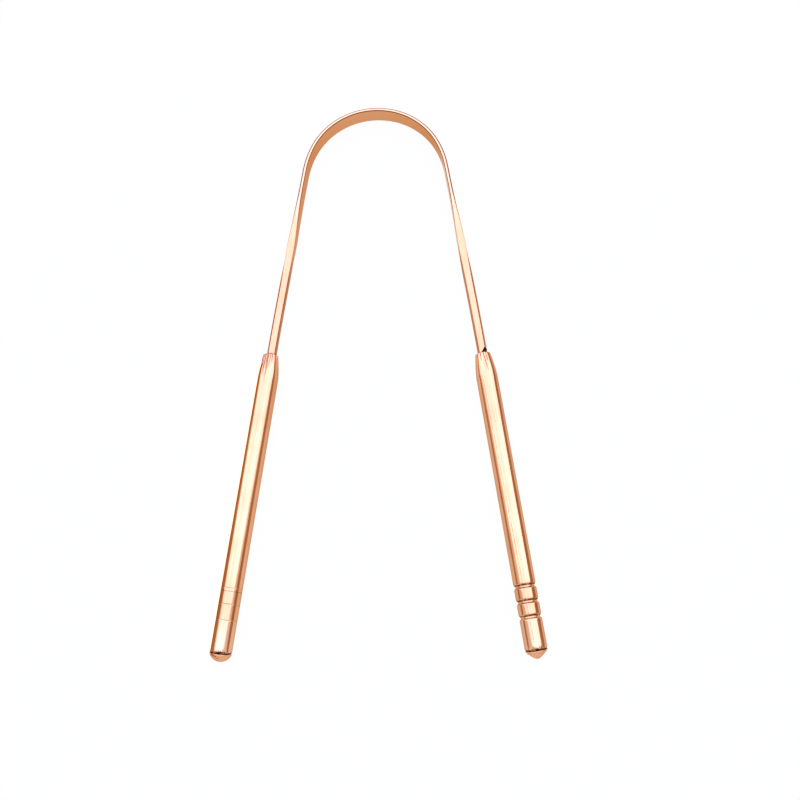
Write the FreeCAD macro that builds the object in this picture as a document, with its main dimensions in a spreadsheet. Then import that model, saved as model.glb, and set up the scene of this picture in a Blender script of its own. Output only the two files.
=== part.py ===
"""A tongue scraper: a bent rod, flattened into a strip at its arch, with two tubular handles.

It lies flat with its arch towards +Y and its handles towards -Y. The surface it lies on is Z = 0.
"""
import FreeCAD, Part
import math
import os
import Sketcher
from FreeCAD import Placement, Rotation, Vector

# Driving dimensions, in millimetres and degrees
SIZES = {
    "strip_thickness": 1.0,
    "strip_width": 5.6,
    "rod_diameter": 2.6,
    "crown_radius": 19.3,
    "shoulder_radius": 25.3,
    "shoulder_angle": 17.7,
    "leg_splay": 9.15,
    "flat_leg_length": 5.0,
    "forming_length": 28.0,
    "round_leg_length": 21.1,
    "leg_bow_radius": 1110.0,
    "tang_length": 16.0,
    "tube_length": 77.0,
    "tube_diameter": 5.6,
    "tube_wall": 0.8,
    "tube_end_radius": 0.12,
    "neck_length": 6.5,
    "mouth_gap": 0.15,
    "mouth_wall": 0.55,
    "lip_radius": 0.25,
    "groove_width": 0.9,
    "left_groove_depth": 0.14,
    "right_groove_depth": 0.42,
    "groove_inset": 7.85,
    "groove_pitch": 3.75,
    "groove_count": 3,
    "bush_inset": 2.0,
    "bush_length": 6.0,
    "bond_gap": 0.02,
    "dome_height": 2.2,
    "shank_length": 4.5,
    "shank_chamfer": 0.4,
}

# Steps of the loft that turns the flat strip into the round rod
FORMING_STEPS = 6

# Two lengths this close count as the same
NEAR = 1e-5

UP = Vector(0, 0, 1)
ACROSS = Vector(1, 0, 0)

QUARTER_TURN = 90
FULL_TURN = 360

TUBE_RADIUS = "sizes.tube_diameter / 2"
BORE_RADIUS = "(sizes.tube_diameter / 2 - sizes.tube_wall)"
MOUTH_BORE_RADIUS = "(sizes.rod_diameter / 2 + sizes.mouth_gap)"
MOUTH_RADIUS = "(sizes.rod_diameter / 2 + sizes.mouth_gap + sizes.mouth_wall)"
NECK_START = "(sizes.tube_length - sizes.neck_length)"

doc = FreeCAD.newDocument("tongue_scraper")


def make_sheet():
    """The spreadsheet that holds the driving dimensions, one named cell each."""
    sheet = doc.addObject("Spreadsheet::Sheet", "sizes")
    for row, (name, value) in enumerate(SIZES.items(), start=1):
        sheet.set(f"A{row}", name)
        sheet.set(f"B{row}", str(value))
        sheet.setAlias(f"B{row}", name)
    doc.recompute()
    return sheet


sheet = make_sheet()


def size(name):
    return float(sheet.get(name))


def lerp(start, end, share):
    return start + (end - start) * share


def rod_section(form, place):
    """The rod's closed outline across its path: form 0 is the flat strip and form 1 the round rod.

    The path runs along X, the thickness along Y and the width along Z.
    """
    half_thickness = size("strip_thickness") / 2
    half_width = size("strip_width") / 2
    radius = size("rod_diameter") / 2
    corner = radius * math.sqrt(0.5)
    face = lerp(half_thickness, radius, form)
    edge = lerp(half_width, radius, form)
    corner_y = lerp(half_thickness, corner, form)
    corner_z = lerp(half_width - half_thickness, corner, form)
    corners = [Vector(0, y, z) for y, z in (
        (corner_y, -corner_z), (corner_y, corner_z), (-corner_y, corner_z), (-corner_y, -corner_z))]
    crests = [Vector(0, face, 0), Vector(0, 0, edge), Vector(0, -face, 0), Vector(0, 0, -edge)]
    curves = []
    for start, crest, end in zip(corners, crests, corners[1:] + corners[:1]):
        flat = crest.z == 0 and form == 0
        curves.append(Part.LineSegment(start, end) if flat else Part.Arc(start, crest, end))
    wire = Part.Wire([curve.toShape() for curve in curves])
    wire.Placement = place
    return wire


def turned(place, radius, angle):
    """Where the path is after a clockwise arc, and the arc's centre."""
    centre = place.multVec(Vector(0, -radius, 0))
    return Placement(Vector(), Rotation(UP, -angle), centre) * place, centre


def moved(place, length):
    return Placement(place.multVec(Vector(length, 0, 0)), place.Rotation)


def bend(place, form, radius, angle):
    """One arc of the rod, as a solid."""
    _, centre = turned(place, radius, angle)
    return Part.Face(rod_section(form, place)).revolve(centre, UP, -angle)


def run(place, form, length):
    """One straight stretch of the rod, as a solid."""
    return Part.Face(rod_section(form, place)).extrude(moved(place, length).Base - place.Base)


def forming(place, length):
    """The stretch where the flat strip eases into the round rod, as a solid."""
    sections = []
    for step in range(FORMING_STEPS + 1):
        share = step / FORMING_STEPS
        ease = share * share * (3 - 2 * share)
        sections.append(rod_section(ease, moved(place, length * share)))
    return Part.makeLoft(sections, True, False)


def crown_turn():
    return QUARTER_TURN - size("leg_splay") - size("shoulder_angle")


def bow_turn():
    return math.degrees(size("round_leg_length") / size("leg_bow_radius"))


def leg_places(crown):
    """Where each stretch of the right leg starts, from the crown down to the mouth of the handle."""
    shoulder, _ = turned(crown, size("crown_radius"), crown_turn())
    flat_leg, _ = turned(shoulder, size("shoulder_radius"), size("shoulder_angle"))
    formed_leg = moved(flat_leg, size("flat_leg_length"))
    round_leg = moved(formed_leg, size("forming_length"))
    mouth, _ = turned(round_leg, size("leg_bow_radius"), bow_turn())
    return shoulder, flat_leg, formed_leg, round_leg, mouth


def dome_sphere_radius():
    radius = size("tube_diameter") / 2
    height = size("dome_height")
    return (radius * radius + height * height) / (2 * height)


def crown_place():
    """The strip's place at the top of the arch, with the whole length centred on the origin."""
    height = max(size("tube_diameter"), size("strip_width")) / 2
    start = Placement(Vector(0, 0, height), Rotation())
    mouth = leg_places(start)[-1]
    sphere = dome_sphere_radius()
    sphere_centre = moved(mouth, size("tube_length") + size("dome_height") - sphere)
    top = size("strip_thickness") / 2
    bottom = sphere_centre.Base.y - sphere
    return moved_up(start, -(top + bottom) / 2)


def moved_up(place, distance):
    """The place moved along +Y, away from the handles."""
    return Placement(place.Base + Vector(0, distance, 0), place.Rotation)


def handle_place(mouth, side):
    """A handle's own frame: its origin at the tube's lower end and its Z axis up towards the mouth."""
    end = moved(mouth, size("tube_length"))
    base = Vector(side * end.Base.x, end.Base.y, end.Base.z)
    top = Vector(side * mouth.Base.x, mouth.Base.y, mouth.Base.z)
    return Placement(base, Rotation(UP, top - base))


def plane(body, role):
    return next(item for item in body.Origin.OriginFeatures if item.Role == role)


def new_body(label):
    body = doc.addObject("PartDesign::Body", label)
    body.Label = label
    return body


def new_sketch(body, name):
    """A sketch in the body's XZ plane: its X is the radius and its Y the height along the axis."""
    sketch = body.newObject("Sketcher::SketchObject", f"{body.Label}_{name}")
    sketch.AttachmentSupport = (plane(body, "XZ_Plane"), [""])
    sketch.MapMode = "FlatFace"
    return sketch


def pin_point(sketch, edge, point, radius, height):
    """Ties one point of an edge to a radius and a height, each an expression of the sheet."""
    for kind, expression, axis in (("DistanceX", radius, -2), ("DistanceY", height, -1)):
        if expression is None:
            continue
        if expression == "0":
            sketch.addConstraint(Sketcher.Constraint("PointOnObject", edge, point, axis))
            continue
        value = sketch.evalExpression(expression)
        index = sketch.addConstraint(Sketcher.Constraint(kind, -1, 1, edge, point, value))
        sketch.setExpression(f"Constraints[{index}]", expression)


def outline(sketch, corners):
    """A closed outline through corners of (radius, height), joined by straight lines or arcs.

    A corner with a third value is reached by an arc about that (radius, height).
    """
    start, end, centre = 1, 2, 3
    spots = [Vector(*(sketch.evalExpression(text) for text in corner[:2])) for corner in corners]
    for edge, corner in enumerate(corners):
        before, here = spots[edge - 1], spots[edge]
        if len(corner) == 2:
            sketch.addGeometry(Part.LineSegment(before, here))
            continue
        middle = Vector(*(sketch.evalExpression(text) for text in corner[2]))
        arm = (before - middle + here - middle).normalize() * (here - middle).Length
        sketch.addGeometry(Part.Arc(before, middle + arm, here))
    for edge, corner in enumerate(corners):
        following = (edge + 1) % len(corners)
        last = end if starts_at(sketch, edge, spots[edge - 1]) else start
        first = start if starts_at(sketch, following, spots[edge]) else end
        sketch.addConstraint(Sketcher.Constraint("Coincident", edge, last, following, first))
        if len(corner) == 2:
            pin_point(sketch, edge, last, *corner)
        else:
            pin_point(sketch, edge, centre, *corner[2])
            pin_point(sketch, edge, last, None, corner[1])


def starts_at(sketch, edge, spot):
    """Whether an edge of the sketch starts at the spot; an arc may be kept the other way round."""
    return sketch.Geometry[edge].StartPoint.distanceToPoint(spot) < NEAR


def revolve(body, name, kind, sketch):
    """Turns a sketch a full circle about the body's axis, as solid or as a cut."""
    feature = body.newObject(kind, f"{body.Label}_{name}")
    feature.Profile = sketch
    feature.ReferenceAxis = (sketch, ["V_Axis"])
    feature.Angle = FULL_TURN
    doc.recompute()
    return feature


def round_edges(body, name, radius, heights_and_radii):
    """Fillets the round edges that lie at the given heights and radii."""
    base = body.Tip
    wanted = [[base.evalExpression(text) for text in pair] for pair in heights_and_radii]
    edges = []
    for number, edge in enumerate(base.Shape.Edges, start=1):
        if not isinstance(edge.Curve, Part.Circle) or not edge.isClosed():
            continue
        centre = edge.Curve.Center
        if any(abs(centre.z - z) < NEAR and abs(edge.Curve.Radius - r) < NEAR for z, r in wanted):
            edges.append(f"Edge{number}")
    fillet = body.newObject("PartDesign::Fillet", f"{body.Label}_{name}")
    fillet.Base = (base, edges)
    fillet.setExpression("Radius", radius)
    doc.recompute()


def make_scraper_band(crown):
    shoulder, flat_leg, formed_leg, round_leg, mouth = leg_places(crown)
    half = [
        bend(crown, 0, size("crown_radius"), crown_turn()),
        bend(shoulder, 0, size("shoulder_radius"), size("shoulder_angle")),
        run(flat_leg, 0, size("flat_leg_length")),
        forming(formed_leg, size("forming_length")),
        bend(round_leg, 1, size("leg_bow_radius"), bow_turn()),
        run(mouth, 1, size("tang_length")),
    ]
    mirrored = [piece.mirror(Vector(), ACROSS) for piece in half]
    band = doc.addObject("Part::Feature", "scraper_band")
    band.Label = "scraper_band"
    band.Shape = half[0].multiFuse(half[1:] + mirrored).removeSplitter()


def make_handle_tube(side_name, place):
    body = new_body(f"{side_name}_handle_tube")
    neck_drop = f"({TUBE_RADIUS} - {MOUTH_RADIUS})"
    neck_arc = f"((sizes.neck_length ^ 2 + {neck_drop} ^ 2) / (2 * {neck_drop}))"
    profile = new_sketch(body, "profile")
    outline(profile, [
        (BORE_RADIUS, "0"),
        (TUBE_RADIUS, "0"),
        (TUBE_RADIUS, NECK_START),
        (MOUTH_RADIUS, "sizes.tube_length", (f"{TUBE_RADIUS} - {neck_arc}", NECK_START)),
        (MOUTH_BORE_RADIUS, "sizes.tube_length"),
        (BORE_RADIUS, NECK_START),
    ])
    revolve(body, "wall", "PartDesign::Revolution", profile)
    round_edges(body, "lip", "sizes.lip_radius", [("sizes.tube_length", MOUTH_RADIUS)])
    round_edges(body, "end", "sizes.tube_end_radius", [("0", TUBE_RADIUS)])
    add_grooves(body, f"sizes.{side_name}_groove_depth")
    body.Placement = place


def add_grooves(body, depth):
    """The row of round-bottomed grooves, the lowest one first."""
    cutter_radius = f"((sizes.groove_width ^ 2 / 4 + {depth} ^ 2) / (2 * {depth}))"
    cutter = new_sketch(body, "groove_profile")
    middle = Vector(cutter.evalExpression(f"{TUBE_RADIUS} + {cutter_radius} - {depth}"),
                    cutter.evalExpression("sizes.groove_inset"))
    cutter.addGeometry(Part.Circle(middle, Vector(0, 0, 1), cutter.evalExpression(cutter_radius)))
    index = cutter.addConstraint(Sketcher.Constraint("Radius", 0, cutter.evalExpression(cutter_radius)))
    cutter.setExpression(f"Constraints[{index}]", cutter_radius)
    pin_point(cutter, 0, 3, f"{TUBE_RADIUS} + {cutter_radius} - {depth}", "sizes.groove_inset")
    before = body.Tip.Shape.Volume
    groove = revolve(body, "groove", "PartDesign::Groove", cutter)
    pattern = body.newObject("PartDesign::LinearPattern", f"{body.Label}_grooves")
    pattern.Originals = [groove]
    pattern.Direction = (plane(body, "Z_Axis"), [""])
    pattern.Mode = "Spacing"
    pattern.setExpression("Offset", "sizes.groove_pitch")
    pattern.setExpression("Occurrences", "sizes.groove_count")
    body.Tip = pattern
    doc.recompute()
    if not body.Shape.Volume < before:
        raise RuntimeError(f"{body.Label}: the grooves cut nothing")


def make_tang_bush(side_name, place):
    body = new_body(f"{side_name}_tang_bush")
    top = f"({NECK_START} - sizes.bush_inset)"
    inside = "sizes.rod_diameter / 2 + sizes.bond_gap"
    outside = f"{BORE_RADIUS} - sizes.bond_gap"
    profile = new_sketch(body, "profile")
    outline(profile, [
        (inside, f"{top} - sizes.bush_length"),
        (outside, f"{top} - sizes.bush_length"),
        (outside, top),
        (inside, top),
    ])
    revolve(body, "sleeve", "PartDesign::Revolution", profile)
    body.Placement = place


def make_end_plug(side_name, place):
    body = new_body(f"{side_name}_end_plug")
    sphere = f"((({TUBE_RADIUS}) ^ 2 + sizes.dome_height ^ 2) / (2 * sizes.dome_height))"
    shank = f"({BORE_RADIUS} - sizes.bond_gap)"
    profile = new_sketch(body, "profile")
    outline(profile, [
        ("0", "-sizes.dome_height"),
        (TUBE_RADIUS, "0", ("0", f"{sphere} - sizes.dome_height")),
        (shank, "0"),
        (shank, "sizes.shank_length - sizes.shank_chamfer"),
        (f"{shank} - sizes.shank_chamfer", "sizes.shank_length"),
        ("0", "sizes.shank_length"),
    ])
    revolve(body, "plug", "PartDesign::Revolution", profile)
    body.Placement = place


def sub_parts():
    return [item for item in doc.Objects
            if item.isDerivedFrom("PartDesign::Body") or item.Label == "scraper_band"]


def check_document():
    """Stops if any object failed or any sub-part is empty, invalid or in pieces."""
    for item in doc.Objects:
        if "Invalid" in item.State or "Error" in item.State:
            raise RuntimeError(f"{item.Label} failed: {item.State}")
    for item in sub_parts():
        if item.Shape.isNull() or not item.Shape.isValid() or len(item.Shape.Solids) != 1:
            raise RuntimeError(f"{item.Label} has no single valid solid")


def main():
    crown = crown_place()
    mouth = leg_places(crown)[-1]
    make_scraper_band(crown)
    for side_name, side in (("left", -1), ("right", 1)):
        place = handle_place(mouth, side)
        make_handle_tube(side_name, place)
        make_tang_bush(side_name, place)
        make_end_plug(side_name, place)
    doc.recompute()
    check_document()
    os.makedirs("parts", exist_ok=True)
    for item in sub_parts():
        item.Shape.exportStep(f"parts/{item.Label}.step")
        box = item.Shape.BoundBox
        print(f"{item.Label}: {item.Shape.Volume:.2f} mm3, X {box.XMin:.3f} to {box.XMax:.3f},"
              f" Y {box.YMin:.3f} to {box.YMax:.3f}, Z {box.ZMin:.3f} to {box.ZMax:.3f}")
    arch_centre = crown.Base - Vector(0, size("crown_radius"), 0)
    print("arch centre", arch_centre, "mouth", mouth.Base, "handle direction", mouth.Rotation.multVec(ACROSS))


main()
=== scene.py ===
"""A polished copper tongue scraper: a rod pressed flat at its arch, with a turned tube on each leg."""

import math

import bmesh
import bpy
from mathutils import Matrix, Vector
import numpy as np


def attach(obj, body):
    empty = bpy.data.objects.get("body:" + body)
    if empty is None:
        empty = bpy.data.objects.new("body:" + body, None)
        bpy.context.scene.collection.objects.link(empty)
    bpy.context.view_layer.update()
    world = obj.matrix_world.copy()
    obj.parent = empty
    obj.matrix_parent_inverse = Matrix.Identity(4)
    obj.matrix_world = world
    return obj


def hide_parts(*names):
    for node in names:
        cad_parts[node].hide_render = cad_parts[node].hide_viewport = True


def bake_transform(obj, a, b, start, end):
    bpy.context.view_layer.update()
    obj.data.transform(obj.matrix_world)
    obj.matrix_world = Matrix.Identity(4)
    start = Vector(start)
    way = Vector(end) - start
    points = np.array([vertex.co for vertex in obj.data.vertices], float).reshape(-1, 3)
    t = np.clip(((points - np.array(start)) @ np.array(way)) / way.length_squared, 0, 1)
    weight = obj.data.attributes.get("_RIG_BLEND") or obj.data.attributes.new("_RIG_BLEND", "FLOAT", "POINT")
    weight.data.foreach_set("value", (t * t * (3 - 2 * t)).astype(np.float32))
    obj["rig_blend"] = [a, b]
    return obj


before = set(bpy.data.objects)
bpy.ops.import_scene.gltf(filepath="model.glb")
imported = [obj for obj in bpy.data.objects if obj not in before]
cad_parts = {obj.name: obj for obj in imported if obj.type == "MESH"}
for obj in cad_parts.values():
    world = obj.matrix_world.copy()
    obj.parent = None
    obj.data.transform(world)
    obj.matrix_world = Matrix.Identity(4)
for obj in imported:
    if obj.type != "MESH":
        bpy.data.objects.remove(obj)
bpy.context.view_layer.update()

MM = 0.001
HAIR = 1e-3
WELD = 1e-7
SMOOTH_BELOW = 40
SIDES = (("left", -1), ("right", 1))

# The band, in millimetres and degrees, as its solid has it
STRIP_THICKNESS = 1.0
STRIP_WIDTH = 5.6
ROD_DIAMETER = 2.6
CROWN_RADIUS = 19.3
SHOULDER_RADIUS = 25.3
SHOULDER_ANGLE = 17.7
LEG_SPLAY = 9.15
FLAT_LEG = 5.0
FORMING = 28.0
ROUND_LEG = 21.1
BOW_RADIUS = 1110.0
TANG = 16.0
MID_HEIGHT = 2.8
ARCH_CENTRE = Vector((0, 55.3875, MID_HEIGHT))
BOW_TURN = math.degrees(ROUND_LEG / BOW_RADIUS)
CROWN_TURN = 90 - LEG_SPLAY - SHOULDER_ANGLE

# The handles, in the same units; heights run from a tube's lower end to its mouth
TUBE_LENGTH = 77.0
TUBE_RADIUS = 2.8
BORE_RADIUS = 2.0
NECK_LENGTH = 6.5
MOUTH_RADIUS = 2.0
MOUTH = Vector((28.0297, 3.2585, MID_HEIGHT))
HANDLE_LEAN = LEG_SPLAY - BOW_TURN
GROOVE_HEIGHTS = (7.85, 11.6, 15.35)
ROLLED_DEPTH = 0.42
DOME_HEIGHT = 2.2
SHANK_RADIUS = 1.98
SHANK_LENGTH = 4.5
SHANK_CHAMFER = 0.4

# Marks of hand work that the solids leave plain, in the same units
CORNER_BREAK = 0.48
MOUTH_BORE = 1.55
MOUTH_RISE = {-1: 0.38, 1: -0.55}
ROLLED_REACH = 0.75
RAGGED_RADIUS = 2.45
RAGGED_FOOT = 0.05
RAGGED_TOP = 1.2
SEAM_SAG = 0.5

# Where the bending of the band ends, on the right side; below it the leg turns with its handle
LEG_TOP = Vector((19.63, 56.7, MID_HEIGHT))

# How finely the pieces are divided
TURN_STEPS = 160
CORNER_STEPS = 10
FACE_CUTS = 9
CROWN_STEPS = 56
SHOULDER_STEPS = 16
FLAT_STEPS = 5
FORMING_STEPS = 36
ROUND_STEPS = 12
MOUTH_STEPS = 4


def unit(value):
    """Keeps a value between 0 and 1."""
    return max(0.0, min(1.0, value))


def off_axis(place):
    """How far a place lies from the axis of a turned piece."""
    return math.hypot(place.x, place.y)


def bearing(place):
    """The angle of a place about the axis of a turned piece, in degrees."""
    return math.degrees(math.atan2(place.y, place.x))


def add_only(name, adder, **options):
    """Adds a primitive as the only selected object, and opens it with all of it selected."""
    bpy.ops.object.select_all(action="DESELECT")
    adder(**options)
    piece = bpy.context.object
    piece.name = piece.data.name = name
    bpy.ops.object.transform_apply(location=True, rotation=True, scale=True)
    bpy.ops.object.mode_set(mode="EDIT")
    bpy.ops.mesh.select_mode(type="VERT")
    bpy.ops.mesh.select_all(action="SELECT")
    return piece


def pick_points(piece, wanted):
    """Selects the points of the open piece whose place, in millimetres, is wanted."""
    bpy.ops.mesh.select_all(action="DESELECT")
    mesh = bmesh.from_edit_mesh(piece.data)
    for point in mesh.verts:
        point.select = wanted(point.co / MM)
    mesh.select_flush_mode()
    bmesh.update_edit_mesh(piece.data)


def picked_size(piece):
    """The size of the selection in the open piece, in millimetres."""
    places = [point.co / MM for point in bmesh.from_edit_mesh(piece.data).verts if point.select]
    return Vector([max(p[axis] for p in places) - min(p[axis] for p in places) for axis in range(3)])


def divide_edges(piece, wanted, cuts):
    """Subdivides the edges of the open piece whose middle, in millimetres, is wanted."""
    bpy.ops.mesh.select_mode(type="EDGE")
    bpy.ops.mesh.select_all(action="DESELECT")
    mesh = bmesh.from_edit_mesh(piece.data)
    for edge in mesh.edges:
        edge.select = wanted((edge.verts[0].co + edge.verts[1].co) / 2 / MM)
    bmesh.update_edit_mesh(piece.data)
    bpy.ops.mesh.subdivide(number_cuts=cuts)
    bpy.ops.mesh.select_mode(type="VERT")


def draw_on(step):
    """Extrudes the selected outline by a step in millimetres."""
    bpy.ops.mesh.extrude_region_move(TRANSFORM_OT_translate={"value": Vector(step) * MM})


def turn_on(centre, angle, steps):
    """Extrudes the selected outline round a centre in the plane of the U, by an angle in degrees."""
    bpy.ops.mesh.spin(steps=steps, angle=-math.radians(angle), center=Vector(centre) * MM, axis=(0, 0, 1))


def close_up(piece):
    """Merges doubles, points the faces outwards and leaves the piece shaded smooth over its soft edges."""
    bpy.ops.mesh.select_all(action="SELECT")
    bpy.ops.mesh.remove_doubles(threshold=WELD)
    bpy.ops.mesh.select_all(action="SELECT")
    bpy.ops.mesh.normals_make_consistent(inside=False)
    bpy.ops.object.mode_set(mode="OBJECT")
    bpy.ops.object.shade_smooth_by_angle(angle=math.radians(SMOOTH_BELOW))


def note_finish(piece, lie_of, soil_and_shade_of, painted_light_of):
    """Keeps, point by point, its lie along and across the stock in millimetres, its soil and painted shade,
    and its painted light.
    """
    kept = piece.data.attributes
    kept.new("lie", "FLOAT_VECTOR", "POINT")
    kept.new("soil_and_shade", "FLOAT", "POINT")
    kept.new("painted_light", "FLOAT", "POINT")
    lies, soil_and_shade_values, painted_lights = (kept[name].data for name in ("lie", "soil_and_shade", "painted_light"))
    for point in piece.data.vertices:
        place = point.co / MM
        lies[point.index].vector = lie_of(place)
        soil_and_shade_values[point.index].value = soil_and_shade_of(place)
        painted_lights[point.index].value = painted_light_of(place, point.normal)


def rounded(centre, radius, start, end, steps):
    """Points of an arc in a turned profile, from one angle to the other in degrees."""
    angles = [math.radians(start + (end - start) * step / steps) for step in range(steps + 1)]
    return [(centre[0] + radius * math.cos(a), centre[1] + radius * math.sin(a)) for a in angles]


def drawn_line(name, places):
    """A line drawn from place to place, in millimetres, left open with all of it selected."""
    line = add_only(name, bpy.ops.mesh.primitive_plane_add, size=MM)
    bpy.ops.mesh.merge(type="CENTER")
    bpy.ops.transform.translate(value=places[0] * MM)
    for here, following in zip(places, places[1:]):
        bpy.ops.mesh.extrude_vertices_move(TRANSFORM_OT_translate={"value": (following - here) * MM})
    bpy.ops.mesh.select_all(action="SELECT")
    return line


def turned_piece(name, profile):
    """A profile of (radius, height) points turned a full circle about the Z axis, with its seam merged."""
    piece = drawn_line(name, [Vector((radius, 0, height)) for radius, height in profile])
    bpy.ops.mesh.spin(steps=TURN_STEPS, angle=math.tau, center=(0, 0, 0), axis=(0, 0, 1))
    bpy.ops.mesh.select_all(action="SELECT")
    bpy.ops.mesh.remove_doubles(threshold=WELD)
    return piece


def lay_on_handle(piece, side):
    """Lays a piece that stands on its lower end along the handle of one side."""
    lean = math.radians(HANDLE_LEAN)
    down = Vector((math.sin(lean), -math.cos(lean), 0)) * TUBE_LENGTH
    foot = MOUTH + down
    piece.rotation_euler = (math.radians(-90), 0, side * lean)
    piece.location = Vector((side * foot.x, foot.y, foot.z)) * MM
    bpy.ops.object.transform_apply(location=True, rotation=True, scale=True)


def band_lie(place):
    """Across, along and up the strip: the way along follows the arch and then the legs."""
    across, up = place.x - ARCH_CENTRE.x, place.y - ARCH_CENTRE.y
    if up > 0:
        return math.hypot(across, up), CROWN_RADIUS * math.atan2(across, up), place.z
    return abs(across), math.copysign(CROWN_RADIUS * math.pi / 2 - up, across), place.z


def band_mouth_shadow(place):
    """Painted shadow darkens the leg where it goes into the mouth of the tube."""
    shadow_top, fade = 0.46, 0.16
    lean = math.radians(HANDLE_LEAN)
    above = (place.y - MOUTH.y) * math.cos(lean) - (abs(place.x) - MOUTH.x) * math.sin(lean)
    above -= MOUTH_RISE[1 if place.x > 0 else -1]
    return unit((shadow_top - above) / fade)


def band_painted_light(place, normal):
    """Painted dark reflections on the flanks of the round edges, set by which way each surface faces, most on
    the arch, where their crests get a painted highlight, which is below nought. A rise is how much of a
    surface's direction points up or down."""
    arch_end, arch_fade, leg_rise, leg_share, crest_run = 50, 14, 0.42, 0.5, 0.05
    across = 0 if abs(place.x) < HAIR else normal.x
    rise = abs(normal.z) / math.hypot(across, normal.y, normal.z)
    on_arch = unit((arch_end - abs(band_lie(place)[1])) / arch_fade)
    if across * place.x + normal.y * (place.y - ARCH_CENTRE.y) > 0:
        arch_lift, half_width, crest_start = 0.4, 0.22, 0.95
    else:
        arch_lift, half_width, crest_start = 0.14, 0.26, 0.82
    off_flank = (rise - (leg_rise + arch_lift * on_arch)) / half_width
    flank = unit((1 + on_arch) * (1 - off_flank * off_flank))
    crest = unit((rise - crest_start) / crest_run)
    # Above nought is painted shade on the flanks, below nought a painted highlight on the arch's crests
    return flank * (leg_share + (1 - leg_share) * on_arch) - crest * on_arch


def strip_outline(name):
    """The outline of the pressed strip: an upright rectangle with its ends rounded by the press."""
    piece = add_only(name, bpy.ops.mesh.primitive_plane_add, size=MM, rotation=(math.radians(90), 0, 0))
    bpy.ops.transform.resize(value=(STRIP_THICKNESS, 1, STRIP_WIDTH))
    bpy.ops.mesh.bevel(offset=CORNER_BREAK * MM, segments=CORNER_STEPS, profile=0.5, affect="VERTICES")
    bpy.ops.mesh.delete(type="ONLY_FACE")
    divide_edges(piece, lambda middle: abs(middle.z) < HAIR, FACE_CUTS)
    bpy.ops.mesh.select_all(action="SELECT")
    return piece


def pressed_half(side_name, side):
    """Half of the band, from the middle of the crown to the end of the tang, drawn upright first."""
    half = strip_outline(f"scraper_band_{side_name}")
    for _ in range(FLAT_STEPS):
        draw_on((0, FLAT_LEG / FLAT_STEPS, 0))
    turn_on((-side * SHOULDER_RADIUS, FLAT_LEG, 0), side * SHOULDER_ANGLE, SHOULDER_STEPS)
    shoulder = math.radians(SHOULDER_ANGLE)
    inset = SHOULDER_RADIUS - CROWN_RADIUS
    crown_centre = Vector((-side * (SHOULDER_RADIUS - inset * math.cos(shoulder)),
                           FLAT_LEG + inset * math.sin(shoulder), 0))
    turn_on(crown_centre, side * CROWN_TURN, CROWN_STEPS)

    # The forming stretch turns from strip to rod, and starts to round up in its second half
    rounding = 0.4
    pick_points(half, lambda p: abs(p.y) < HAIR)
    for step in range(1, FORMING_STEPS + 1):
        share = step / FORMING_STEPS
        ease = share * share * (3 - 2 * share)
        draw_on((0, -FORMING / FORMING_STEPS, 0))
        round_share = 1 if step == FORMING_STEPS else rounding * max(0, 2 * share - 1) ** 2
        bpy.ops.transform.tosphere(value=round_share)
        now = picked_size(half)
        thickness = STRIP_THICKNESS + (ROD_DIAMETER - STRIP_THICKNESS) * ease
        width = STRIP_WIDTH + (ROD_DIAMETER - STRIP_WIDTH) * ease
        bpy.ops.transform.resize(value=(thickness / now.x, 1, width / now.z))
    near_mouth = 0.05
    bow_centre = (-side * BOW_RADIUS, -FORMING, 0)
    turn_on(bow_centre, -side * BOW_TURN * (1 - near_mouth), ROUND_STEPS)
    turn_on(bow_centre, -side * BOW_TURN * near_mouth, MOUTH_STEPS)
    bow = math.radians(BOW_TURN)
    draw_on((-side * math.sin(bow) * TANG, -math.cos(bow) * TANG, 0))
    bpy.ops.mesh.edge_face_add()

    bpy.ops.object.mode_set(mode="OBJECT")
    half.rotation_euler = (0, 0, side * math.radians(LEG_SPLAY))
    turned_centre = Matrix.Rotation(half.rotation_euler.z, 3, "Z") @ crown_centre
    half.location = (ARCH_CENTRE - turned_centre) * MM
    bpy.ops.object.transform_apply(location=True, rotation=True, scale=True)
    bpy.ops.object.mode_set(mode="EDIT")
    pick_points(half, lambda p: abs(p.x) < HAIR)
    bpy.ops.mesh.edge_face_add()
    close_up(half)
    return half


def cut_nick(half, side, metal):
    """Cuts the small three-sided nick into the top of the leg, where it goes into the tube."""
    nick_out, nick_above, nick_radius, nick_depth, nick_stretch = 0.75, 0.3, 1.4, 3.0, 1.25
    lean = math.radians(HANDLE_LEAN) * side
    out = Vector((math.cos(lean), math.sin(lean), 0))
    along = Vector((-math.sin(lean), math.cos(lean), 0))
    leg_crest = Vector((side * MOUTH.x, MOUTH.y, MID_HEIGHT + ROD_DIAMETER / 2))
    place = leg_crest + out * nick_out + along * (MOUTH_RISE[side] + nick_above)
    cutter = add_only("nick_cutter", bpy.ops.mesh.primitive_cylinder_add, vertices=3, radius=nick_radius * MM,
                      depth=nick_depth * MM, location=place * MM, rotation=(0, 0, lean),
                      scale=(nick_stretch, 1, 1))
    bpy.ops.object.mode_set(mode="OBJECT")
    cutter.data.materials.append(metal)
    bpy.ops.object.select_all(action="DESELECT")
    bpy.context.view_layer.objects.active = half
    half.select_set(True)
    cut = half.modifiers.new("nick", "BOOLEAN")
    cut.operation, cut.object, cut.solver, cut.material_mode = "DIFFERENCE", cutter, "EXACT", "TRANSFER"
    bpy.ops.object.modifier_apply(modifier=cut.name)
    bpy.data.objects.remove(cutter)
    bpy.ops.object.mode_set(mode="EDIT")
    close_up(half)


def match_seam(half):
    """Gives the outline in the middle of the crown the same normals on both halves."""
    mesh = half.data
    normals = []
    for corner, normal in zip(mesh.loops, mesh.corner_normals):
        way = normal.vector.copy()
        if abs(mesh.vertices[corner.vertex_index].co.x) < HAIR * MM and abs(way.x) < 0.5:
            way.x = 0
        normals.append(way.normalized())
    mesh.normals_split_custom_set(normals)


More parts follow.
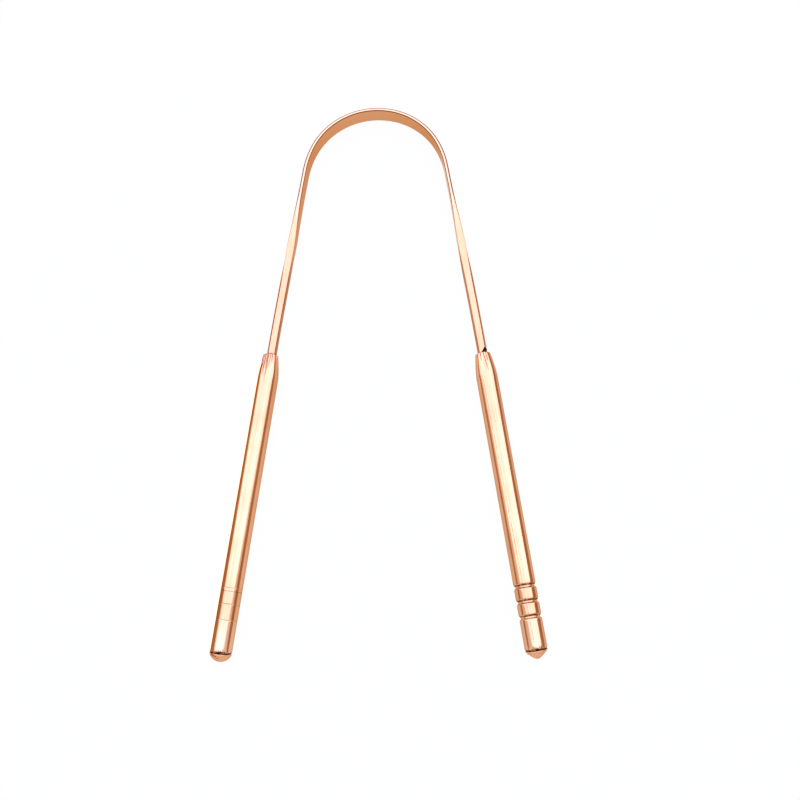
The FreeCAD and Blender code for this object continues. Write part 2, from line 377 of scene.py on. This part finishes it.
def scribed_groove(height):
    """A groove so shallow that it shows as fine cut lines, from below it to above it; the highest has two."""
    half_width, margin = 0.06, 0.12
    lines = dict(zip(GROOVE_HEIGHTS, (((0.0, 0.03),), ((0.2, 0.045),), ((-0.42, 0.06), (0.42, 0.035)))))
    points = []
    for offset, depth in lines[height]:
        line = height + offset
        points += [(TUBE_RADIUS, line - half_width - margin), (TUBE_RADIUS, line - half_width),
                   (TUBE_RADIUS - depth, line), (TUBE_RADIUS, line + half_width),
                   (TUBE_RADIUS, line + half_width + margin)]
    return points


def scribed_darkening(place):
    """Darkens the cut lines, more the deeper ones."""
    thickest, full_depth = 0.9, 0.05
    return min(thickest, (TUBE_RADIUS - off_axis(place)) / full_depth)


def rolled_groove(height):
    """A deep groove with well rounded shoulders, from below it to above it."""
    steps, margin = 18, 0.15
    points = [(TUBE_RADIUS, height - ROLLED_REACH - margin)]
    for step in range(steps + 1):
        way = 2 * step / steps - 1
        sunk = ROLLED_DEPTH * (0.5 + 0.5 * math.cos(math.pi * way))
        points.append((TUBE_RADIUS - sunk, height + way * ROLLED_REACH))
    return points + [(TUBE_RADIUS, height + ROLLED_REACH + margin)]


def rolled_groove_shade(place):
    """Painted shade, darkest on the upper flank of a deep groove and faint on the lower one."""
    way = min(((place.z - height) / ROLLED_REACH for height in GROOVE_HEIGHTS), key=abs)
    upper = 1.6 * (1 - abs(way - 0.42) / 0.34)
    lower = 0.75 * (1 - abs(way + 0.62) / 0.2)
    return max(0.0, upper, lower)


def crease_share(place, top, crease):
    """How deep a point lies in a crease of the neck, from 0 to 1; a crease is its angle at the mouth, its
    angle at its end, its reach in millimetres and its half width in degrees."""
    start, end, reach, half_width = crease
    inside_neck = 1.7
    down = (top - place.z) / reach
    if not 0 <= down <= 1 or off_axis(place) < inside_neck:
        return 0.0
    off = abs(bearing(place) - start - (end - start) * down) / half_width
    return max(0.0, 1 - off) * (1 - down) ** 0.4


def press_creases(tube, top, creases):
    """Presses the swaging creases into the neck, deepest at the mouth."""
    squeeze = 0.985
    for crease in creases:
        for level in (0.05, 0.35, 0.65):
            pick_points(tube, lambda p: crease_share(p, top, crease) > level)
            bpy.ops.transform.resize(value=(squeeze, squeeze, 1), center_override=(0, 0, 0))


def lean_neck(tube, top, offset):
    """Leans the neck sideways step by step, by an offset at the mouth in millimetres."""
    steps = 20
    for step in range(steps):
        pick_points(tube, lambda p: p.z > top - NECK_LENGTH * (1 - step / steps))
        bpy.ops.transform.translate(value=(offset / steps * MM, 0, 0))


def leave_burrs(tube, burrs, seed):
    """Leaves the tube's lower edge ragged: a burr is an angle, a half width and a lift in millimetres."""
    burr_top, rough_top, rough_inset, roughness = 0.9, 1.1, 0.03, 0.07
    for angle, half_width, lift in burrs:
        pick_points(tube, lambda p: RAGGED_FOOT < p.z < burr_top and off_axis(p) > RAGGED_RADIUS
                    and abs(bearing(p) - angle) < half_width)
        bpy.ops.transform.translate(value=(0, 0, lift * MM))
    pick_points(tube, lambda p: RAGGED_FOOT < p.z < rough_top
                and RAGGED_RADIUS < off_axis(p) < TUBE_RADIUS - rough_inset)
    bpy.ops.transform.vertex_random(offset=roughness * MM, seed=seed, wait_for_input=False)


def bow_seam(piece, reach):
    """Bows the seam between tube and plug towards the plug, most in the middle of its front and back."""
    steps, shares = 10, (1.0, 0.75, 0.5, 0.25)
    bpy.ops.object.mode_set(mode="EDIT")
    for step in range(steps):
        width = TUBE_RADIUS * math.sqrt(1 - (step + 0.5) / steps)
        for share in shares:
            pick_points(piece, lambda p: abs(p.x) < width and -reach * share < p.z < reach * share + 0.5
                        and off_axis(p) > SHANK_RADIUS + 0.1)
            bpy.ops.transform.translate(value=(0, 0, -SEAM_SAG / steps / len(shares) * MM))
    bpy.ops.object.mode_set(mode="OBJECT")


def handle_tube(side_name, side, groove, groove_darkening, creases, neck_lean, burrs, seed, draw_line, lower_highlight):
    """The turned tube: ragged lower end, grooves, plain wall, and a neck swaged down to the mouth."""
    lip_round, wall_runs, neck_runs, neck_curve = 0.1, 24, 24, 1.45
    top = TUBE_LENGTH + MOUTH_RISE[side]
    neck_start = top - NECK_LENGTH
    profile = [(BORE_RADIUS, 0), (2.4, 0.01), (2.5, 0.1), (2.58, 0.2), (2.68, 0.28), (2.76, 0.36),
               (TUBE_RADIUS, 0.46), (TUBE_RADIUS, RAGGED_TOP), (TUBE_RADIUS, RAGGED_TOP + 1)]
    for height in GROOVE_HEIGHTS:
        profile += groove(height)
    wall_start = profile[-1][1]
    for run in range(1, wall_runs + 1):
        profile.append((TUBE_RADIUS, wall_start + (neck_start - wall_start) * run / wall_runs))
    for run in range(1, neck_runs):
        share = run / neck_runs
        profile.append((TUBE_RADIUS - (TUBE_RADIUS - MOUTH_RADIUS) * share ** neck_curve,
                        neck_start + (NECK_LENGTH - lip_round) * share))
    profile += rounded((MOUTH_RADIUS - lip_round, top - lip_round), lip_round, 10, 170, 8)
    profile += [(MOUTH_BORE, top - 0.5), (BORE_RADIUS, neck_start), (BORE_RADIUS, 0)]
    tube = turned_piece(f"{side_name}_handle", profile)
    press_creases(tube, top, creases)
    leave_burrs(tube, burrs, seed)
    close_up(tube)

    def soil_and_shade(place):
        """Soil lies on the ragged end and along one long drawing line, painted shade lies inside the lip, and
        the grooves darken by their own rule.
        """
        out, height = off_axis(place), place.z
        if height < RAGGED_TOP:
            return unit((TUBE_RADIUS - 0.03 - out) / 0.12)
        if height > neck_start:
            # Painted shade inside the lip, round the leg
            return unit((MOUTH_RADIUS - 0.12 - out) / 0.1) if height > top - 0.15 else 0.0
        line_angle, half_width = -98 - 20 * height / top, 2.4
        line = draw_line * max(0.0, 1 - abs(bearing(place) - line_angle) / half_width)
        return max(line, groove_darkening(place) if height < GROOVE_HEIGHTS[-1] + 1 else 0.0)

    def painted_light(place, normal):
        """The creases get painted shade, and the lower end a painted highlight, which is below nought."""
        low = unit((GROOVE_HEIGHTS[0] - place.z) / 0.5)
        # Painted shade in the neck's creases, less a painted highlight towards the lower end
        return max(min(1.0, 1.7 * crease_share(place, top, crease)) for crease in creases) - lower_highlight * low

    note_finish(tube, lambda place: place, soil_and_shade, painted_light)
    bow_seam(tube, 1.0)
    bpy.ops.object.mode_set(mode="EDIT")
    lean_neck(tube, top, neck_lean)
    bpy.ops.object.mode_set(mode="OBJECT")
    lay_on_handle(tube, side)
    return tube


def end_plug(side_name, side, cone):
    """The domed plug; cone 0 is a plain round cap and cone 1 a straight cone with a round tip."""
    edge_round, dome_runs, tip, soil_depth = 0.16, 22, 0.9, 0.12
    sphere = (TUBE_RADIUS ** 2 + DOME_HEIGHT ** 2) / (2 * DOME_HEIGHT)
    slope = DOME_HEIGHT / (math.hypot(TUBE_RADIUS, tip) - tip)
    profile = []
    for run in range(dome_runs):
        out = (TUBE_RADIUS - edge_round * 0.4) * run / dome_runs
        cap = sphere - DOME_HEIGHT - math.sqrt(sphere ** 2 - out ** 2)
        point = -DOME_HEIGHT + (math.hypot(out, tip) - tip) * slope
        profile.append((out, cap + (point - cap) * cone))
    profile += rounded((TUBE_RADIUS - edge_round, -edge_round), edge_round, -20, 90, 6)
    profile += [(SHANK_RADIUS, 0), (SHANK_RADIUS, SHANK_LENGTH - SHANK_CHAMFER),
                (SHANK_RADIUS - SHANK_CHAMFER, SHANK_LENGTH), (0, SHANK_LENGTH)]
    plug = turned_piece(f"{side_name}_end_cap", profile)
    close_up(plug)
    note_finish(plug, lambda place: place, lambda place: unit(1 + place.z / soil_depth), lambda *_: 0.0)
    bow_seam(plug, 1.2)
    lay_on_handle(plug, side)
    return plug


def put_on(tree, socket, wire):
    """Links an output to a socket, or puts a value on it."""
    if isinstance(wire, bpy.types.NodeSocket):
        tree.links.new(wire, socket)
    else:
        socket.default_value = wire


def add_node(tree, kind, wires, **settings):
    """Adds a node with its settings; each wire is an output to link to a socket, or a value to put on it."""
    node = tree.nodes.new(f"ShaderNode{kind}")
    for setting, value in settings.items():
        setattr(node, setting, value)
    for socket, wire in wires.items():
        put_on(tree, node.inputs[socket], wire)
    return node


def noise(tree, place, scale, detail):
    return add_node(tree, "TexNoise", {"Vector": place, "Scale": scale, "Detail": detail}).outputs["Fac"]


def spread(tree, value, low, high, to_low=0.0, to_high=1.0):
    """Spreads the part of a value between two levels over a new range."""
    wires = {"Value": value, "From Min": low, "From Max": high, "To Min": to_low, "To Max": to_high}
    return add_node(tree, "MapRange", wires).outputs["Result"]


def maths(tree, operation, first, second):
    return add_node(tree, "Math", {0: first, 1: second}, operation=operation).outputs[0]


def scaled_place(tree, place, factors):
    return add_node(tree, "VectorMath", {0: place, 1: factors}, operation="MULTIPLY").outputs[0]


def blend_colours(tree, share, first, second):
    """Blends two colours, each an output or three values, by a share."""
    node = tree.nodes.new("ShaderNodeMix")
    node.data_type = "RGBA"
    put_on(tree, node.inputs[0], share)
    for socket, colour in ((node.inputs[6], first), (node.inputs[7], second)):
        put_on(tree, socket, colour if isinstance(colour, bpy.types.NodeSocket) else (*colour, 1))
    return node.outputs[2]


def shader_group(name, inputs, outputs):
    """An empty shader group with named sockets, and the nodes that they show on inside it."""
    group = bpy.data.node_groups.new(name, "ShaderNodeTree")
    for way, sockets in (("INPUT", inputs), ("OUTPUT", outputs)):
        for label, kind in sockets:
            group.interface.new_socket(label, in_out=way, socket_type=f"NodeSocket{kind}")
    return group, group.nodes.new("NodeGroupInput").outputs, group.nodes.new("NodeGroupOutput").inputs


def drawn_marks_group():
    """Marks of drawing and polishing: streaks and fine scratches along the stock, small pits, a slow tone."""
    inputs = (("Place", "Vector"), ("Stretch", "Vector"))
    outputs = (("Streaks", "Float"), ("Scratches", "Float"), ("Pits", "Float"), ("Tone", "Float"))
    group, given, made = shader_group("drawn_marks", inputs, outputs)
    drawn = scaled_place(group, given["Place"], given["Stretch"])
    finer = scaled_place(group, drawn, (3.1, 3.1, 3.1))
    group.links.new(spread(group, noise(group, drawn, 1.0, 4.0), 0.32, 0.68), made["Streaks"])
    group.links.new(spread(group, noise(group, finer, 1.0, 1.0), 0.63, 0.72), made["Scratches"])
    group.links.new(spread(group, noise(group, given["Place"], 2.6, 1.0), 0.74, 0.8), made["Pits"])
    group.links.new(spread(group, noise(group, given["Place"], 0.11, 2.0), 0.35, 0.65), made["Tone"])
    return group


def soil_and_shade_group():
    """Soil and painted shade in seams, grooves and round the mouth: the noted amount, broken up so that it
    lies unevenly.
    """
    inputs = (("Amount", "Float"), ("Place", "Vector"))
    group, given, made = shader_group("patchy_soil_and_shade", inputs, (("SoilAndShade", "Float"),))
    patchy = spread(group, noise(group, given["Place"], 1.4, 3.0), 0.36, 0.56, 0.25, 1.0)
    group.links.new(maths(group, "MULTIPLY", given["Amount"], patchy), made["SoilAndShade"])
    return group


def group_node(tree, group, **wires):
    node = tree.nodes.new("ShaderNodeGroup")
    node.node_tree = group
    for socket, wire in wires.items():
        put_on(tree, node.inputs[socket], wire)
    return node.outputs


def kept_value(tree, name, output):
    return add_node(tree, "Attribute", {}, attribute_name=name).outputs[output]


def new_material(name):
    """A material with its nodes, and the tree that they stand in."""
    material = bpy.data.materials.new(name)
    material.use_nodes = True
    return material, material.node_tree


# What polishing, handling and time make of the copper, and the colours of its painted highlight and painted
# shade
PAINTED_HIGHLIGHT = (0.75, 0.44, 0.285)
PAINTED_SHADE = (0.15, 0.06, 0.026)
PITTED = (0.34, 0.14, 0.07)
SOIL_AND_SHADE_COLOUR = (0.05, 0.016, 0.004)
GLANCING_TINT = (0.82, 0.55, 0.42, 1)


def copper(name, marks, soil_and_shade, stretch, dull, bright, smooth, rough, worn=None):
    """Polished copper with drawn streaks, soil and painted shade, and painted highlights; worn is the colour
    of the band's pressed part.
    """
    material, tree = new_material(name)
    shader = tree.nodes["Principled BSDF"]
    place = kept_value(tree, "lie", "Vector")
    mark = group_node(tree, marks, Place=place, Stretch=stretch)
    dirt_and_shade = group_node(tree, soil_and_shade, Amount=kept_value(tree, "soil_and_shade", "Fac"), Place=place)["SoilAndShade"]
    streak_part = maths(tree, "MULTIPLY", mark["Streaks"], 0.65)
    tone_part = maths(tree, "MULTIPLY", mark["Tone"], 0.35)
    streak = maths(tree, "ADD", streak_part, tone_part)
    colour = blend_colours(tree, streak, dull, bright)
    if worn:
        pressed_end, drawn_start = 34, 62
        along = add_node(tree, "SeparateXYZ", {0: place}).outputs["Y"]
        away = add_node(tree, "Math", {0: along}, operation="ABSOLUTE").outputs[0]
        grain = blend_colours(tree, streak, [c * 0.94 for c in worn], [c * 1.05 for c in worn])
        colour = blend_colours(tree, spread(tree, away, pressed_end, drawn_start), grain, colour)
    # Painted light: painted shade above nought, painted highlight below it
    painted_light = kept_value(tree, "painted_light", "Fac")
    colour = blend_colours(tree, maths(tree, "MULTIPLY", painted_light, -1), colour, PAINTED_HIGHLIGHT)
    colour = blend_colours(tree, painted_light, colour, PAINTED_SHADE)
    colour = blend_colours(tree, mark["Pits"], colour, PITTED)
    # Soil in seams, and painted shade at the mouth and in the grooves
    colour = blend_colours(tree, dirt_and_shade, colour, SOIL_AND_SHADE_COLOUR)
    tree.links.new(colour, shader.inputs["Base Color"])
    shader.inputs["Specular Tint"].default_value = GLANCING_TINT
    shader.inputs["Specular IOR Level"].default_value = 0.1
    sheen = spread(tree, streak, 0, 1, rough, smooth)
    scuffed = maths(tree, "ADD", sheen, maths(tree, "MULTIPLY", mark["Scratches"], 0.08))
    roughened = maths(tree, "ADD", scuffed, maths(tree, "MULTIPLY", dirt_and_shade, 0.4))
    tree.links.new(roughened, shader.inputs["Roughness"])
    shader.inputs["Metallic"].default_value = 1
    relief = maths(tree, "SUBTRACT", maths(tree, "MULTIPLY", mark["Streaks"], 0.35), mark["Scratches"])
    relief = maths(tree, "SUBTRACT", relief, mark["Pits"])
    bump = add_node(tree, "Bump", {"Height": relief, "Strength": 0.25, "Distance": 0.01 * MM})
    tree.links.new(bump.outputs["Normal"], shader.inputs["Normal"])
    return material


def plain_metal(name, dark, light, scale, roughness):
    """A dull metal whose tone changes in small patches, on the piece's own coordinates in metres."""
    material, tree = new_material(name)
    shader = tree.nodes["Principled BSDF"]
    place = add_node(tree, "TexCoord", {}).outputs["Object"]
    patch = spread(tree, noise(tree, place, scale, 3.0), 0.35, 0.65)
    tree.links.new(blend_colours(tree, patch, dark, light), shader.inputs["Base Color"])
    tree.links.new(spread(tree, patch, 0, 1, roughness, roughness * 0.6), shader.inputs["Roughness"])
    shader.inputs["Metallic"].default_value = 1
    return material


drawn_marks = drawn_marks_group()
patchy_soil_and_shade = soil_and_shade_group()
tube_metal = copper("turned_copper", drawn_marks, patchy_soil_and_shade, stretch=(2.1, 2.1, 0.022),
                    dull=(0.62, 0.295, 0.15), bright=(0.82, 0.45, 0.26), smooth=0.07, rough=0.13)
band_metal = copper("pressed_copper", drawn_marks, patchy_soil_and_shade, stretch=(2.4, 0.035, 2.0),
                    dull=(0.64, 0.30, 0.16), bright=(0.75, 0.375, 0.215), smooth=0.08, rough=0.14,
                    worn=(0.68, 0.32, 0.155))
# Near-black inside of the nick: oxide, and painted shade for the dark of the deep cut
nick_metal = plain_metal("nick_oxide_and_shade", (0.02, 0.012, 0.008), (0.06, 0.03, 0.02), 9000, 0.6)
bush_metal = plain_metal("bush_copper", (0.58, 0.25, 0.14), (0.72, 0.34, 0.2), 1500, 0.35)

# How the two handles differ, as hand work does
HANDLE_WORK = {
    "left": {
        "groove": scribed_groove, "groove_darkening": scribed_darkening, "neck_lean": -0.2, "seed": 3,
        "draw_line": 0.0, "lower_highlight": 0.9,
        "creases": ((-118, -114, 6.2, 5), (-104, -102, 4.6, 4), (-94, -97, 6.8, 5), (-79, -85, 4.2, 4),
                    (-66, -68, 2.6, 4), (-132, -129, 3.4, 4)),
        "burrs": ((-85, 32, 0.2), (-72, 16, 0.2), (-100, 8, 0.1), (-126, 4, 0.2), (-138, 3, 0.15)),
    },
    "right": {
        "groove": rolled_groove, "groove_darkening": rolled_groove_shade, "neck_lean": 0.0, "seed": 8,
        "draw_line": 0.8, "lower_highlight": 0.4,
        "creases": ((-90, -78, 5.4, 5), (-113, -110, 2.4, 4), (-70, -68, 2.8, 4)),
        "burrs": ((-103, 18, 0.18), (-88, 28, 0.2), (-60, 8, 0.15)),
    },
}
DOME_CONE = {"left": 0.0, "right": 0.7}

for side_name, side in SIDES:
    half = pressed_half(side_name, side)
    half.data.materials.append(band_metal)
    if side > 0:
        cut_nick(half, side, nick_metal)
    note_finish(half, band_lie, band_mouth_shadow, band_painted_light)
    match_seam(half)
    leg_top = Vector((side * LEG_TOP.x, LEG_TOP.y, LEG_TOP.z)) * MM
    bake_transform(half, "band", f"{side_name}_handle",
             start=(ARCH_CENTRE + Vector((0, CROWN_RADIUS, 0))) * MM, end=leg_top)
    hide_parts("scraper_band")
    tube = handle_tube(side_name, side, **HANDLE_WORK[side_name])
    plug = end_plug(side_name, side, DOME_CONE[side_name])
    for piece, node in ((tube, "handle_tube"), (plug, "end_plug")):
        piece.data.materials.append(tube_metal)
        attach(piece, f"{side_name}_handle")
        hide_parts(f"{side_name}_{node}")
    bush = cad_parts[f"{side_name}_tang_bush"]
    for slot in bush.material_slots:
        slot.material = bush_metal


def back_lamp(tilt, distance, half_angle, radiance):
    """One wide round lamp behind and above the piece, fading at its rim, that reaches down to the floor."""
    lean = math.radians(tilt)
    way = Vector((0, math.cos(lean), math.sin(lean)))
    bpy.ops.object.light_add(type="AREA", location=way * distance)
    lamp = bpy.context.object
    lamp.name = "back_lamp"
    lamp.rotation_euler = (-way).to_track_quat("-Z", "Y").to_euler()
    lamp.visible_camera = False
    lamp.data.shape = "SQUARE"
    lamp.data.size = 2 * distance * math.tan(math.radians(half_angle))
    lamp.data.energy = radiance * math.pi * lamp.data.size ** 2
    lamp.data.color = (0.92, 1.0, 1.6)
    lamp.data.use_nodes = True
    tree = lamp.data.node_tree
    place = add_node(tree, "NewGeometry", {}).outputs["Parametric"]
    middle = (0.5, 0.5, 0)
    offset = add_node(tree, "VectorMath", {0: place, 1: middle}, operation="DISTANCE").outputs["Value"]
    fade = add_node(tree, "ValToRGB", {"Fac": offset})
    stops = ((0.0, 0.95), (0.17, 1.0), (0.36, 0.97), (0.43, 0.74), (0.475, 0.42), (0.5, 0.0))
    while len(fade.color_ramp.elements) < len(stops):
        fade.color_ramp.elements.new(0.5)
    for stop, (position, level) in zip(fade.color_ramp.elements, stops):
        stop.position, stop.color = position, (level, level, level, 1)
    tree.links.new(fade.outputs["Color"], tree.nodes["Emission"].inputs["Color"])


def seen_share(tree, share):
    """How much of the white background shows: to the camera, and in metal and glass."""
    path = add_node(tree, "LightPath", {}).outputs
    seen = maths(tree, "MAXIMUM", path["Is Camera Ray"], path["Is Glossy Ray"])
    return maths(tree, "MULTIPLY", maths(tree, "MAXIMUM", seen, path["Is Transmission Ray"]), share)


def white_floor():
    bpy.ops.object.select_all(action="DESELECT")
    bpy.ops.mesh.primitive_plane_add(size=6, location=(0, 0, -0.02 * MM))
    floor = bpy.context.object
    floor.name = "floor"
    paper, tree = new_material("white_paper")
    tree.nodes.remove(tree.nodes["Principled BSDF"])
    matte = add_node(tree, "BsdfDiffuse", {"Color": (0.85, 0.85, 0.85, 1)}).outputs[0]
    white = add_node(tree, "Emission", {"Strength": 1.0}).outputs[0]
    mixed = add_node(tree, "MixShader", {0: seen_share(tree, 0.97), 1: matte, 2: white}).outputs[0]
    tree.links.new(mixed, tree.nodes["Material Output"].inputs["Surface"])
    floor.data.materials.append(paper)


def white_world():
    world = bpy.data.worlds.new("studio")
    bpy.context.scene.world = world
    world.use_nodes = True
    tree = world.node_tree
    shown = blend_colours(tree, seen_share(tree, 1.0), (0.35, 0.35, 0.35), (1, 1, 1))
    tree.links.new(shown, tree.nodes["Background"].inputs["Color"])


def card_colour(name, colour):
    material, tree = new_material(name)
    tree.nodes.remove(tree.nodes["Principled BSDF"])
    glow = add_node(tree, "Emission", {"Color": (*colour, 1)}).outputs[0]
    tree.links.new(glow, tree.nodes["Material Output"].inputs["Surface"])
    return material


def stand_card(card, colour):
    """Finishes a stage card and keeps it out of the picture and off the floor: only the metal shows it."""
    bpy.ops.object.mode_set(mode="OBJECT")
    card.data.materials.append(colour)
    card.visible_camera = card.visible_diffuse = card.visible_shadow = False


def dark_floor_card(colour):
    """A card on the floor with an opening close round the piece, closer on the left than on the right."""
    opening = [Vector((x, y, -0.01)) for x, y in
               ((0, 77.5), (13, 74), (20, 66), (24, 56), (33, 28), (45, 10), (52, 0), (66, -85), (62, -380),
                (-50, -380), (-49.5, -85), (-38, 0), (-32, 28), (-23, 56), (-19.5, 66), (-13, 74), (0, 77.5))]
    card = drawn_line("dark_floor_card", opening)
    bpy.ops.mesh.remove_doubles(threshold=WELD)
    bpy.ops.mesh.select_all(action="SELECT")
    bpy.ops.mesh.extrude_region_move()
    bpy.ops.transform.resize(value=(30, 30, 1), center_override=(0, 0, 0))
    stand_card(card, colour)


def bounce_card():
    """A bright narrow card on the floor along the left handle, that washes out its lower left edge."""
    card_width, card_height = 5.2, -0.005
    card = add_only("bounce_card", bpy.ops.mesh.primitive_plane_add, size=MM)
    bpy.ops.transform.resize(value=(card_width, TUBE_LENGTH, 1))
    beside = Vector((-TUBE_RADIUS - card_width / 2, -TUBE_LENGTH / 2, card_height))
    bpy.ops.transform.translate(value=beside * MM)
    bpy.ops.object.mode_set(mode="OBJECT")
    card.rotation_euler.z = -math.radians(HANDLE_LEAN)
    card.location = Vector((-MOUTH.x, MOUTH.y, 0)) * MM
    bpy.ops.object.transform_apply(location=True, rotation=True, scale=True)
    stand_card(card, card_colour("bright_card", (4.0, 4.0, 4.4)))


def dark_wall(colour, distance, rises):
    """A low wall round the stage; rises gives its height in degrees, seen from the piece, by its bearing."""
    wall = add_only("dark_wall", bpy.ops.mesh.primitive_circle_add, vertices=96, radius=distance)
    bpy.ops.mesh.extrude_region_move(TRANSFORM_OT_translate={"value": (0, 0, distance)})
    ring = bmesh.from_edit_mesh(wall.data)
    for point in ring.verts:
        if point.co.z > distance / 2:
            from_behind = math.degrees(math.atan2(point.co.x, point.co.y))
            for (low, low_rise), (high, high_rise) in zip(rises, rises[1:]):
                if low <= from_behind <= high:
                    rise = low_rise + (high_rise - low_rise) * (from_behind - low) / (high - low)
            point.co.z = distance * math.tan(math.radians(rise))
    bmesh.update_edit_mesh(wall.data)
    stand_card(wall, colour)


# The wall's rises by bearing, both in degrees; a bearing of 0 is straight behind the piece
WALL_RISES = ((-180, 0), (-140, 0), (-105, 20), (-85, 20), (-76, 6), (-66, 8), (-55, 12), (-40, 18), (0, 20),
              (40, 18), (55, 13), (62, 15), (68, 18), (74, 23), (84, 25), (90, 29), (105, 29), (140, 0),
              (180, 0))

white_floor()
white_world()
back_lamp(tilt=40, distance=0.6, half_angle=67, radiance=1.5)
brown = card_colour("brown_card", (0.50, 0.31, 0.19))
dark_floor_card(brown)
dark_wall(brown, distance=0.45, rises=WALL_RISES)
bounce_card()

# Camera: its own turn about the long way, its tilt back and its roll, in degrees
CAMERA_AIM = Vector((6.148, -9.309, MID_HEIGHT)) * MM
CAMERA_DISTANCE = 261.903 * MM
CAMERA_TILT, CAMERA_TURN, CAMERA_ROLL = 14.983, 2.755, -0.528
CAMERA_LENS = 45.06

camera_data = bpy.data.cameras.new("camera")
camera = bpy.data.objects.new("camera", camera_data)
bpy.context.collection.objects.link(camera)
camera_data.sensor_width = 36
camera_data.lens = CAMERA_LENS
camera_data.clip_start = 0.01
camera.rotation_mode = "ZXY"
camera.rotation_euler = [math.radians(a) for a in (CAMERA_TILT, CAMERA_TURN, CAMERA_ROLL)]
bpy.context.view_layer.update()
camera.location = CAMERA_AIM + camera.matrix_world.to_3x3() @ Vector((0, 0, CAMERA_DISTANCE))
bpy.context.scene.camera = camera

bpy.context.scene.view_settings.view_transform = "Standard"
